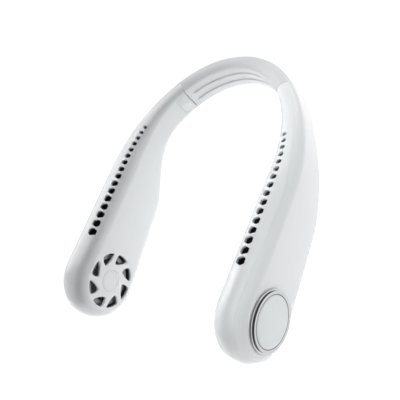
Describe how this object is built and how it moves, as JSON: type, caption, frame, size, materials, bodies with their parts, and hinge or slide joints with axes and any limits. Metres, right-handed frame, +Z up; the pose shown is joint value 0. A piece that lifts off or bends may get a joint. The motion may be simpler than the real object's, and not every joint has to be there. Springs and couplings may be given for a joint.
{
  "type": "neck fan",
  "caption": "Wearable neck fan: a U-shaped collar of two hollow arms with round fan heads, a row of air outlets along each top edge and a flexible rear band.",
  "frame": {"origin": "middle of the footprint, on the table that the fan lies on", "axes": "+Z up from the table, +Y from the two heads to the back of the neck, +X towards the right arm; the hinge pins lean 12.28 degrees back from +Z"},
  "size_m": [0.1694, 0.2061, 0.0614],
  "materials": {
    "shell_white": "glossy moulded shell, cool white",
    "band_silicone": "satin silicone, cool white",
    "spring_steel": "cold-rolled strip",
    "plated_steel": "zinc plated",
    "cable_grey": "matt flat cable",
    "lead_red": "satin lead jacket",
    "hinge_nylon": "matt moulded nylon",
    "hub_white": "satin-gloss disc",
    "ring_chrome": "bright chrome plating",
    "insert_grey": "smooth pale insert",
    "duct_grey": "matt moulding",
    "motor_alloy": "cast",
    "lamination": "varnished steel stack",
    "copper_wire": "enamelled copper",
    "bronze": "sintered bronze",
    "magnet_grey": "bonded ferrite",
    "impeller_dark": "dark moulding",
    "cell_wrap": "shrink-wrapped can",
    "foam_dark": "soft black rubber",
    "board_green": "solder mask",
    "switch_dark": "matt",
    "socket_steel": "drawn shell",
    "button_white": "satin-gloss button",
    "light_clear": "frosted clear"
  },
  "bodies": {
    "band": {"band_sleeve": "band_silicone", "spring_strip": "spring_steel", "band_cable": "cable_grey", "left_hinge_plate": "plated_steel", "right_hinge_plate": "plated_steel", "plate_rivets": "plated_steel"},
    "left_arm": {"left_inner_shell": "shell_white", "left_outer_shell": "shell_white", "left_hinge_cover": "shell_white", "left_hinge_block": "hinge_nylon", "left_hinge_pin": "plated_steel", "left_block_screws": "plated_steel", "left_grille_hub": "hub_white", "left_disc_ring": "ring_chrome", "left_disc_insert": "insert_grey", "left_volute": "duct_grey", "left_duct_floor": "duct_grey", "left_motor_base": "motor_alloy", "left_motor_screws": "plated_steel", "left_stator": "lamination", "left_coils": "copper_wire", "left_bearing": "bronze", "left_battery": "cell_wrap", "left_cell_pads": "foam_dark", "left_harness": "lead_red", "control_board": "board_green", "board_screw": "plated_steel", "usb_socket": "socket_steel", "tact_switch": "switch_dark", "light_pipe": "light_clear"},
    "left_fan": {"left_shaft": "plated_steel", "left_rotor_can": "plated_steel", "left_magnet_ring": "magnet_grey", "left_impeller": "impeller_dark"},
    "right_arm": {"right_inner_shell": "shell_white", "right_outer_shell": "shell_white", "right_hinge_cover": "shell_white", "right_hinge_block": "hinge_nylon", "right_hinge_pin": "plated_steel", "right_block_screws": "plated_steel", "right_grille_hub": "hub_white", "right_disc_ring": "ring_chrome", "right_disc_insert": "insert_grey", "right_volute": "duct_grey", "right_duct_floor": "duct_grey", "right_motor_base": "motor_alloy", "right_motor_screws": "plated_steel", "right_stator": "lamination", "right_coils": "copper_wire", "right_bearing": "bronze", "right_battery": "cell_wrap", "right_cell_pads": "foam_dark", "right_harness": "lead_red"},
    "right_fan": {"right_shaft": "plated_steel", "right_rotor_can": "plated_steel", "right_magnet_ring": "magnet_grey", "right_impeller": "impeller_dark"},
    "power_button": {"power_button": "button_white"}
  },
  "joints": [
    {"name": "left_hinge", "type": "hinge", "parent": "band", "child": "left_arm", "pos_m": [-0.05031, 0.0696, 0.01798], "axis": [0, -0.2127, -0.9771], "range_deg": [-5, 15]},
    {"name": "right_hinge", "type": "hinge", "parent": "band", "child": "right_arm", "pos_m": [0.05031, 0.0696, 0.01798], "axis": [0, 0.2127, 0.9771], "range_deg": [-5, 15]},
    {"name": "left_fan_spin", "type": "hinge", "parent": "left_arm", "child": "left_fan", "pos_m": [-0.0697, -0.0749, 0.03326], "axis": [-1, 0, 0], "continuous": true},
    {"name": "right_fan_spin", "type": "hinge", "parent": "right_arm", "child": "right_fan", "pos_m": [0.0697, -0.0749, 0.03326], "axis": [1, 0, 0], "continuous": true},
    {"name": "power_press", "type": "slide", "parent": "left_arm", "child": "power_button", "axis": [0.9759, -0.2182, 0.0064], "range_m": [0, 0.00035], "stiffness_N_per_m": 1500, "springref_m": -0.0005}
  ]
}
